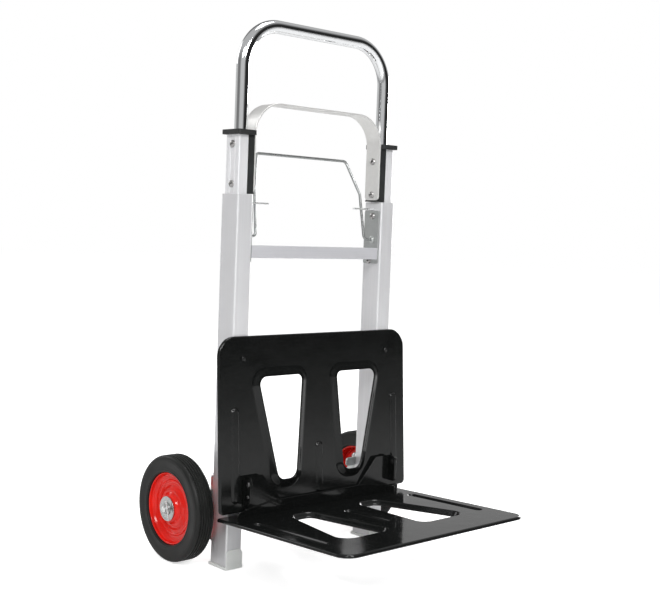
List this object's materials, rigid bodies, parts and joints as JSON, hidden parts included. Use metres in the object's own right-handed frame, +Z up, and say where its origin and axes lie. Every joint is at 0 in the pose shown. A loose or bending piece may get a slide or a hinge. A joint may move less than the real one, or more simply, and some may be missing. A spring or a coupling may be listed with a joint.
{
  "type": "folding hand truck",
  "caption": "Folding aluminium hand truck with a telescopic handle, a hinged toe plate and wheels that swing in behind the frame.",
  "frame": {"origin": "middle of the footprint, on the floor", "axes": "+Z up, -Y towards the load side, +X to the right of someone who faces +Y"},
  "size_m": [0.4394, 0.4628, 0.8358],
  "materials": {
    "satin_aluminium": "satin anodised, extruded",
    "pale_aluminium": "fine matt",
    "zinc_steel": "zinc plated",
    "chrome": "bright",
    "black_enamel": "gloss baked enamel",
    "black_plastic": "moulded, fine grain",
    "grey_plastic": "moulded, smooth",
    "red_enamel": "gloss enamel",
    "tyre_rubber": "solid rubber, ribbed tread"
  },
  "bodies": {
    "frame": {"rail_left": "satin_aluminium", "rail_right": "satin_aluminium", "foot_cap_left": "grey_plastic", "foot_cap_right": "grey_plastic", "crossbar_bracket_left": "zinc_steel", "crossbar_bracket_right": "zinc_steel", "bail_bush_left": "zinc_steel", "bail_bush_right": "zinc_steel", "plate_screw_left": "black_enamel", "plate_screw_right": "black_enamel", "plate_stud_left": "black_enamel", "plate_stud_right": "black_enamel", "hinge_bracket_left": "black_enamel", "hinge_bracket_right": "black_enamel", "toe_hinge_pin_left": "zinc_steel", "toe_hinge_pin_right": "zinc_steel", "swing_mount_left": "zinc_steel", "swing_mount_right": "zinc_steel", "swing_pin_left": "zinc_steel", "swing_pin_right": "zinc_steel", "bracket_rivet_lower_left": "zinc_steel", "bracket_rivet_lower_right": "zinc_steel", "bracket_rivet_upper_left": "zinc_steel", "bracket_rivet_upper_right": "zinc_steel", "crossbar": "satin_aluminium", "back_plate": "black_enamel"},
    "toe": {"toe_plate": "black_enamel"},
    "bail": {"release_bail": "zinc_steel"},
    "lock_left": {"lock_pin_left": "zinc_steel"},
    "lock_right": {"lock_pin_right": "zinc_steel"},
    "wheel_arm_left": {"wheel_bracket_left": "zinc_steel", "stub_axle_left": "zinc_steel", "axle_washer_left": "zinc_steel", "axle_nut_left": "zinc_steel"},
    "wheel_arm_right": {"wheel_bracket_right": "zinc_steel", "stub_axle_right": "zinc_steel", "axle_washer_right": "zinc_steel", "axle_nut_right": "zinc_steel"},
    "wheel_left": {"wheel_rim_left": "red_enamel", "tyre_left": "tyre_rubber"},
    "wheel_right": {"wheel_rim_right": "red_enamel", "tyre_right": "tyre_rubber"},
    "middle_stage": {"stage_channel_left": "satin_aluminium", "stage_channel_right": "satin_aluminium", "stage_foot_left": "black_plastic", "stage_foot_right": "black_plastic", "stage_collar_left": "black_plastic", "stage_collar_right": "black_plastic", "band_rivet_lower_left": "zinc_steel", "band_rivet_lower_right": "zinc_steel", "band_rivet_upper_left": "zinc_steel", "band_rivet_upper_right": "zinc_steel", "stage_rivet_lower_left": "zinc_steel", "stage_rivet_lower_right": "zinc_steel", "stage_rivet_upper_left": "zinc_steel", "stage_rivet_upper_right": "zinc_steel", "band_arch": "pale_aluminium"},
    "handle": {"handle_tube": "chrome", "tube_plug_left": "black_plastic", "tube_plug_right": "black_plastic"}
  },
  "joints": [
    {"name": "toe_fold", "type": "hinge", "parent": "frame", "child": "toe", "pos_m": [0, 0.02336, 0.137], "axis": [-1, 0, 0], "range_deg": [0, 90]},
    {"name": "wheel_swing_left", "type": "hinge", "parent": "frame", "child": "wheel_arm_left", "pos_m": [-0.1494, 0.11186, 0.082], "axis": [0, 0, -1], "range_deg": [0, 90]},
    {"name": "wheel_spin_left", "type": "hinge", "parent": "wheel_arm_left", "child": "wheel_left", "pos_m": [-0.1965, 0.14936, 0.082], "axis": [1, 0, 0], "continuous": true},
    {"name": "wheel_swing_right", "type": "hinge", "parent": "frame", "child": "wheel_arm_right", "pos_m": [0.1494, 0.11186, 0.082], "axis": [0, 0, 1], "range_deg": [0, 90]},
    {"name": "wheel_spin_right", "type": "hinge", "parent": "wheel_arm_right", "child": "wheel_right", "pos_m": [0.1965, 0.14936, 0.082], "axis": [1, 0, 0], "continuous": true},
    {"name": "stage_slide", "type": "slide", "parent": "frame", "child": "middle_stage", "axis": [0, 0, 1], "range_m": [0, 0.14]},
    {"name": "handle_slide", "type": "slide", "parent": "middle_stage", "child": "handle", "axis": [0, 0, 1], "range_m": [0, 0.14]},
    {"name": "bail_swing", "type": "hinge", "parent": "frame", "child": "bail", "pos_m": [0, 0.07686, 0.506], "axis": [-1, 0, 0], "range_deg": [0, 12], "stiffness_Nm_per_rad": 0.05, "springref_deg": -28.65},
    {"name": "lock_pin_slide_left", "type": "slide", "parent": "frame", "child": "lock_left", "axis": [1, 0, 0], "range_m": [0, 0.0065]},
    {"name": "lock_pin_slide_right", "type": "slide", "parent": "frame", "child": "lock_right", "axis": [-1, 0, 0], "range_m": [0, 0.0065]}
  ],
  "couplings": [
    {"joint": "wheel_swing_left", "follows": "toe_fold", "ratio": 1},
    {"joint": "wheel_swing_right", "follows": "toe_fold", "ratio": 1},
    {"joint": "lock_pin_slide_left", "follows": "bail_swing", "m_per_rad": 0.0287},
    {"joint": "lock_pin_slide_right", "follows": "bail_swing", "m_per_rad": 0.0287}
  ]
}
